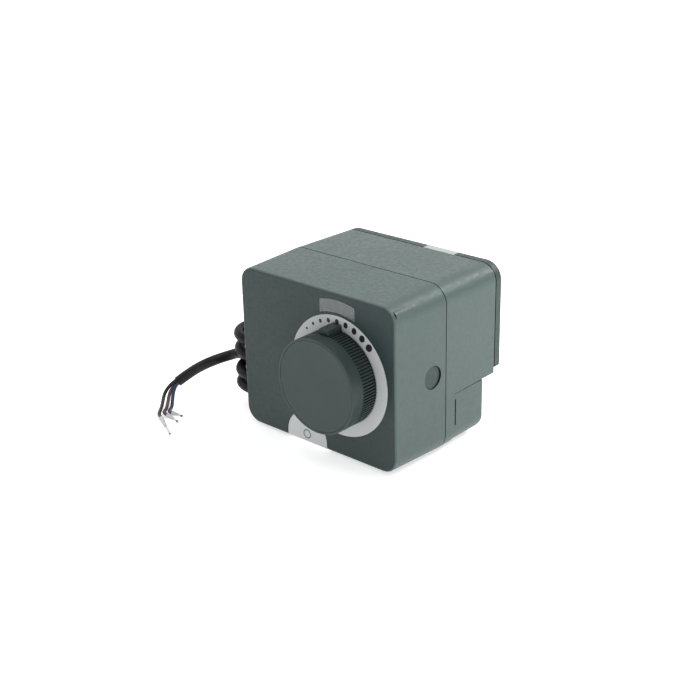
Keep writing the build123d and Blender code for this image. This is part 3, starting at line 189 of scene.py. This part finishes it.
def metal(name, colour, rough=(0.25, 0.45), stretch=(1, 1, 12)):
    """Plated or ground metal with faint directional marks."""
    shader = Shader(name)
    marks = shader.noise(700, 4, 0.6, stretch)
    tone = tuple(0.82 * c for c in colour)
    shader.colour(shader.mix(shader.ramp(marks, 0.3, 0.7, 0, 1), tone, colour))
    shader.rough(shader.ramp(marks, 0.3, 0.7, *rough))
    shader.bump(marks, 0.15, 0.00004)
    shader.set(Metallic=1.0)
    return shader


# The seam darkening below is painted shade in the gaps between casing pieces.
SEAM_SHADE = 0.0016  # how far gaps between casing pieces darken their edges
CASING_SIDE = ((0.079, 0.114, 0.107), (0.088, 0.126, 0.118))
CASING = moulded("casing_side", *CASING_SIDE, (0.34, 0.54), gap_shade_distance=SEAM_SHADE).material
PLATE = moulded(
    "casing_plate", (0.042, 0.064, 0.059), (0.047, 0.071, 0.066), (0.38, 0.58), gap_shade_distance=SEAM_SHADE
).material
PLUG = moulded(
    "plug_plastic", (0.032, 0.052, 0.052), (0.038, 0.060, 0.060), (0.36, 0.5), gap_shade_distance=SEAM_SHADE
).material
# The knob's lighter edge colour is a painted highlight on its sharp edges; the darkening in its knurl
# valleys is painted shade.
KNOB = moulded(
    "knob_plastic", (0.030, 0.048, 0.046), (0.036, 0.055, 0.053), (0.34, 0.48), 2600, 0.00003,
    edge_highlight=(0.12, 0.16, 0.155), gap_shade_distance=0.0012,
).material
GREY = moulded(
    "light_grey_plastic", (0.54, 0.562, 0.56), (0.59, 0.612, 0.605), (0.45, 0.6), 2400, 0.00003,
    gap_shade_distance=0.0009,
).material
INSERT = moulded(
    "pale_grey_plastic", (0.43, 0.45, 0.44), (0.48, 0.50, 0.49), (0.45, 0.6), 2400, 0.00003,
    gap_shade_distance=0.0012,
).material
GEAR = moulded(
    "acetal_natural", (0.70, 0.67, 0.60), (0.78, 0.76, 0.70), (0.3, 0.45), 1800, 0.00003
).material
GEAR_DARK = moulded(
    "acetal_black", (0.02, 0.02, 0.022), (0.035, 0.035, 0.037), (0.3, 0.45), 1800, 0.00003
).material
NYLON = moulded(
    "glass_nylon", (0.05, 0.055, 0.055), (0.07, 0.075, 0.075), (0.4, 0.55), 1200, 0.00005
).material
SHEATH = moulded(
    "cable_sheath_pvc", (0.005, 0.0055, 0.005), (0.009, 0.010, 0.009), (0.34, 0.5), 900, 0.00006
).set(Specular_IOR_Level=0.28).material


def core_material(colour, dark, light):
    """Insulation of one core."""
    return moulded(f"core_{colour}_pvc", dark, light, (0.25, 0.4), 2000, 0.00003).material


CORE_BLACK = core_material("black", (0.012, 0.013, 0.012), (0.02, 0.02, 0.02))
CORE_BROWN = core_material("brown", (0.085, 0.050, 0.042), (0.12, 0.07, 0.058))
CORE_BLUE = core_material("blue", (0.020, 0.034, 0.095), (0.030, 0.050, 0.135))
FERRULE = moulded(
    "ferrule_white", (0.60, 0.61, 0.60), (0.70, 0.71, 0.70), (0.3, 0.45), 2500, 0.00002
).material
STEEL = metal("zinc_plated_steel", (0.62, 0.63, 0.65)).material
SCREW = metal("screw_steel", (0.50, 0.50, 0.52), (0.3, 0.5)).material
BRONZE = metal("sintered_bronze", (0.50, 0.33, 0.15), (0.4, 0.6), (1, 1, 1)).material
TIN = metal("tinned_copper", (0.72, 0.72, 0.73), (0.2, 0.35)).material
BOARD = moulded(
    "board_green", (0.012, 0.09, 0.035), (0.02, 0.13, 0.05), (0.25, 0.4), 600, 0.00004
).material
CAPACITOR = moulded(
    "capacitor_yellow", (0.62, 0.40, 0.04), (0.70, 0.48, 0.06), (0.25, 0.4), 1800, 0.00003
).material
CONNECTOR = moulded(
    "connector_green", (0.04, 0.20, 0.07), (0.06, 0.26, 0.10), (0.35, 0.5), 1800, 0.00003
).material
BLACK = moulded(
    "switch_black", (0.015, 0.015, 0.016), (0.03, 0.03, 0.032), (0.35, 0.5), 1600, 0.00004
).material
LED = moulded(
    "led_epoxy", (0.50, 0.06, 0.03), (0.60, 0.09, 0.05), (0.15, 0.25), 900, 0.00001
).material


def casing_front_material():
    """The cover: its front face is painted darker than its sides as painted shade, and its seams take
    painted shade too.
    """
    shader = Shader("casing_cover")
    geometry = shader.node("ShaderNodeNewGeometry")
    split = shader.node("ShaderNodeSeparateXYZ")
    shader.link(geometry.outputs["True Normal"], split.inputs["Vector"])
    front_shade_mask = shader.ramp(split.outputs["Y"], -0.97, -0.75, 1, 0)
    drift = shader.noise(26, 3)
    side = shader.mix(shader.ramp(drift, 0.3, 0.7, 0, 1), *CASING_SIDE)
    front_painted_shade = shader.mix(shader.ramp(drift, 0.3, 0.7, 0, 1), (0.021, 0.038, 0.038), (0.026, 0.045, 0.045))
    shader.colour(shader.painted_gap_shade(shader.mix(front_shade_mask, side, front_painted_shade), SEAM_SHADE))
    fine = shader.noise(1500, 4, 0.65)
    coarse = shader.noise(520, 2)
    shader.rough(shader.ramp(coarse, 0.3, 0.7, 0.34, 0.56))
    shader.bump(coarse, 0.45, 0.00010)
    shader.bump(fine, 0.65, 0.00008)
    shader.set(Specular_IOR_Level=0.32)
    return shader.material


def lens_material():
    """Smoked window with faint upright streaks and a painted highlight along its edges."""
    shader = Shader("smoked_lens")
    streaks = shader.noise(300, 3, 0.6, (1, 1, 0.35))
    base = shader.mix(shader.ramp(streaks, 0.3, 0.7, 0, 1), (0.085, 0.099, 0.097), (0.125, 0.142, 0.139))
    shader.colour(shader.painted_edge_highlight(base, (0.55, 0.58, 0.575), 0.8, 0.0004))
    shader.rough(shader.ramp(streaks, 0.3, 0.7, 0.12, 0.3))
    shader.bump(streaks, 0.2, 0.00008)
    shader.set(IOR=1.49, Coat_Weight=0.3)
    return shader.material


def ink_material(name, dark, light):
    return moulded(name, dark, light, (0.5, 0.65), 2500, 0.00002).material


COVER = casing_front_material()
LENS_MATERIAL = lens_material()
INK = ink_material("dot_ink", (0.006, 0.007, 0.007), (0.012, 0.013, 0.013))
# The dark pin-end colour is partly the dark strands and partly painted shade in the hollow tube ends.
PIN_END_DARK_AND_SHADE = metal("pin_end_dark_and_shade", (0.10, 0.10, 0.105), (0.3, 0.5)).material
MARK = ink_material("mark_ink", (0.10, 0.12, 0.125), (0.14, 0.16, 0.165))

FINISH = {
    "front_cover": COVER,
    "rear_housing": CASING,
    "rear_plate": PLATE,
    "wiring_cover": CASING,
    "side_plug": PLUG,
    "knob": KNOB,
    "knob_cap": KNOB,
    "dial_ring": GREY,
    "manual_button": GREY,
    "anti_rotation_insert": INSERT,
    "window_lens": LENS_MATERIAL,
    "output_gear": GEAR,
    "third_gear": GEAR,
    "clutch_gear": GEAR,
    "limit_cam_open": GEAR,
    "limit_cam_close": GEAR,
    "first_gear": GEAR_DARK,
    "motor_pinion": GEAR_DARK,
    "output_shaft": NYLON,
    "output_bush_front": BRONZE,
    "output_bush_rear": BRONZE,
    "cable_grommet": SHEATH,
    "cable_sheath": SHEATH,
    "core_black": CORE_BLACK,
    "core_brown": CORE_BROWN,
    "core_blue": CORE_BLUE,
    "ferrule_collars": FERRULE,
    "ferrule_pins": TIN,
    "control_board": BOARD,
    "run_capacitor": CAPACITOR,
    "board_connector": CONNECTOR,
    "terminal_block": CONNECTOR,
    "direction_leds": LED,
    "limit_switches": BLACK,
}
for name, thing in NODES.items():
    finish = FINISH.get(name, SCREW if "screws" in name or name == "knob_screw" else STEEL)
    thing.data.materials.clear()
    thing.data.materials.append(finish)


# ---------------------------------------------------------------- inlays
def new_piece(name, board, material, body):
    """Turn a bmesh into a piece that rides on a body."""
    bmesh.ops.recalc_face_normals(board, faces=board.faces)
    mesh = bpy.data.meshes.new(name)
    board.to_mesh(mesh)
    board.free()
    mesh.materials.append(material)
    thing = bpy.data.objects.new(name, mesh)
    bpy.context.collection.objects.link(thing)
    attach(thing, body)
    return thing


def skin(board, rings):
    """Join rings of vertices into a closed tube with flat ends."""
    count = len(rings[0])
    for this, following in zip(rings, rings[1:]):
        for i in range(count):
            j = (i + 1) % count
            board.faces.new((this[i], this[j], following[j], following[i]))
    board.faces.new(rings[0][::-1])
    board.faces.new(rings[-1])


def domed_disc(board, centre, half_x, half_z, back_y, front_y, steps=32):
    """Elliptical button of ink: straight side, rounded shoulder and nearly flat top."""
    rings = []
    depth = front_y - back_y
    for grow, along in ((1.0, 0.0), (1.0, 0.6), (0.96, 0.85), (0.86, 0.97), (0.5, 1.0)):
        rings.append([
            board.verts.new((
                centre[0] + grow * half_x * math.cos(2 * math.pi * i / steps),
                back_y + along * depth,
                centre[1] + grow * half_z * math.sin(2 * math.pi * i / steps),
            ))
            for i in range(steps)
        ])
    skin(board, rings)


def scale_dots():
    """Black ink in the nine recesses of the dial ring, growing from left to right."""
    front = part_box("dial_ring")[0][1]
    count, span, circle = 9, 90.0, 27.8
    small, large = 0.6, 1.8
    board = bmesh.new()
    for dot in range(count):
        share = dot / (count - 1)
        angle = math.radians(90 + span * (0.5 - share))
        r = (small + share * (large - small)) * 0.985 * MM
        centre = (circle * MM * math.cos(angle), circle * MM * math.sin(angle))
        start = len(board.verts)
        domed_disc(board, (0, 0), 1.15 * r, r, front + 0.49 * MM, front + 0.12 * MM)
        board.verts.ensure_lookup_table()
        turn = Matrix.Rotation(-angle, 4, "Y")
        for vert in board.verts[start:]:
            vert.co = turn @ vert.co + Vector((centre[0], 0, centre[1]))
    new_piece("scale_dot_inks", board, INK, "frame")


def button_mark():
    """Grey ink in the round groove of the manual button."""
    low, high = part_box("manual_button")
    front = low[1]
    centre = ((low[0] + high[0]) / 2, -37.6 * MM)
    inner, outer, steps = 1.93 * MM, 2.47 * MM, 48
    board = bmesh.new()
    profile = ((inner, 0.28), (inner, 0.12), (inner + 0.08 * MM, 0.08), (outer - 0.08 * MM, 0.08),
               (outer, 0.12), (outer, 0.28))
    rings = []
    for i in range(steps):
        a = 2 * math.pi * i / steps
        rings.append([
            board.verts.new(
                (centre[0] + r * math.cos(a), front + back * MM, centre[1] + r * math.sin(a))
            )
            for r, back in profile
        ])
    for i in range(steps):
        this, following = rings[i], rings[(i + 1) % steps]
        for k in range(len(profile)):
            m = (k + 1) % len(profile)
            board.faces.new((this[k], this[m], following[m], following[k]))
    new_piece("button_mark_ink", board, MARK, "manual_clutch")


# core end and pin tip of each ferrule, in millimetres
FERRULES = (
    ((-99.0, -110.3, -41.85), (-81.0, -119.5, -42.2)),
    ((-99.0, -105.7, -41.85), (-89.3, -107.0, -42.2)),
    ((-98.8, -102.6, -41.6), (-91.0, -102.2, -41.2)),
)


def pin_ends():
    """Dark ends of the three ferrule pins: partly their dark strand ends, partly painted shade in the
    hollow crimped ends.
    """
    board = bmesh.new()
    steps = 24
    # radius, and distance back from the tip, in millimetres
    profile = ((0.605, 1.5), (0.635, 1.4), (0.635, 0.30), (0.55, 0.10), (0.30, 0.03))
    for back, tip in FERRULES:
        tip = Vector(tip)
        along = (tip - Vector(back)).normalized()
        side = along.cross(Vector((0, 0, 1))).normalized()
        up = along.cross(side)
        rings = []
        for r, short in profile:
            rings.append([
                board.verts.new(
                    (tip - along * short + (side * math.cos(a) + up * math.sin(a)) * r) * MM
                )
                for a in (2 * math.pi * i / steps for i in range(steps))
            ])
        skin(board, rings)
    new_piece("ferrule_pin_ends", board, PIN_END_DARK_AND_SHADE, "frame")


def spring_coil():
    """The clutch spring, as a rigid coil of wire in place of the CAD spring."""
    low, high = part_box("clutch_spring")
    wire, turns, round_steps, along_steps = 0.22 * MM, 6, 12, 32
    middle_x, middle_z = (low[0] + high[0]) / 2, (low[2] + high[2]) / 2
    coil_r = (high[0] - low[0]) / 2 - wire
    first_y, last_y = high[1] - wire, low[1] + wire
    board = bmesh.new()
    rings = []
    for step in range(turns * along_steps + 1):
        a = 2 * math.pi * step / along_steps
        out = Vector((math.cos(a), 0, math.sin(a)))
        y = first_y + (last_y - first_y) * step / (turns * along_steps)
        centre = Vector((middle_x, y, middle_z)) + out * coil_r
        rings.append([
            board.verts.new(centre + wire * (math.cos(b) * out + math.sin(b) * Vector((0, 1, 0))))
            for b in (2 * math.pi * i / round_steps for i in range(round_steps))
        ])
    skin(board, rings)
    coil = new_piece("clutch_spring_coil", board, STEEL, "frame")
    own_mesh(coil)
    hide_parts("clutch_spring")


scale_dots()
button_mark()
pin_ends()
spring_coil()


# ---------------------------------------------------------------- floor, light, camera
def backdrop():
    """Pale floor that curves up into a wall far behind."""
    mesh = bpy.data.meshes.new("backdrop")
    board = bmesh.new()
    half = 6.0
    rows = [(-6.0, 0.0), (2.5, 0.0)]
    rows += [(2.5 + 1.5 * math.sin(a), 1.5 - 1.5 * math.cos(a)) for a in
             [math.radians(d) for d in range(9, 91, 9)]]
    rows.append((4.0, 6.0))
    turn = Matrix.Rotation(math.radians(AZIMUTH), 3, "Z")
    lines = []
    for y, z in rows:
        pair = [turn @ Vector((x, y, 0)) + Vector((0, 0, FLOOR_Z - 0.0002 + z)) for x in (-half, half)]
        lines.append([board.verts.new(p) for p in pair])
    for a, b in zip(lines, lines[1:]):
        board.faces.new((a[0], a[1], b[1], b[0])).smooth = True
    board.to_mesh(mesh)
    thing = bpy.data.objects.new("backdrop", mesh)
    bpy.context.collection.objects.link(thing)
    shader = Shader("backdrop_paper")
    tone = shader.noise(6, 2)
    shader.colour(shader.mix(tone, (0.93, 0.93, 0.93), (0.95, 0.95, 0.95)))
    shader.set(Roughness=0.9, Emission_Color=(1.0, 1.0, 1.0, 1.0), Emission_Strength=0.56)
    mesh.materials.append(shader.material)


def area_light(name, place, size, power, at=TARGET):
    data = bpy.data.lights.new(name, "AREA")
    data.shape = "RECTANGLE"
    data.size, data.size_y = size
    data.energy = power
    light = bpy.data.objects.new(name, data)
    bpy.context.collection.objects.link(light)
    light.location = place
    light.rotation_euler = (Vector(at) - Vector(place)).to_track_quat("-Z", "Y").to_euler()
    return light


def lights():
    world = bpy.data.worlds.new("studio") if not bpy.data.worlds else bpy.data.worlds[0]
    bpy.context.scene.world = world
    world.use_nodes = True
    background = world.node_tree.nodes["Background"]
    background.inputs["Color"].default_value = (1.0, 1.0, 1.0, 1.0)
    background.inputs["Strength"].default_value = 0.42
    area_light("top_box", (0.15, 0.10, 0.95), (1.1, 1.1), 4.6)
    area_light("right_box", (0.95, -0.15, 0.35), (0.9, 0.9), 0.9)
    area_light("left_fill", (-0.75, -0.55, 0.45), (0.7, 0.7), 1.3)
    area_light("rim_box", (0.34, 0.58, 0.56), (0.34, 0.34), 4.2)


def camera():
    azimuth, elevation, roll = map(math.radians, (AZIMUTH, ELEVATION, ROLL))
    back = Vector((
        math.sin(azimuth) * math.cos(elevation),
        -math.cos(azimuth) * math.cos(elevation),
        math.sin(elevation),
    ))
    right = Vector((math.cos(azimuth), math.sin(azimuth), 0))
    up = back.cross(right)
    rolled_right = right * math.cos(roll) + up * math.sin(roll)
    rolled_up = up * math.cos(roll) - right * math.sin(roll)
    data = bpy.data.cameras.new("camera")
    data.lens = LENS
    data.sensor_width = 36.0
    data.clip_start = 0.01
    thing = bpy.data.objects.new("camera", data)
    bpy.context.collection.objects.link(thing)
    turn = Matrix((rolled_right, rolled_up, back)).transposed()
    thing.matrix_world = Matrix.Translation(TARGET + back * DISTANCE) @ turn.to_4x4()
    bpy.context.scene.camera = thing


backdrop()
lights()
camera()
bpy.context.scene.view_settings.view_transform = "Standard"
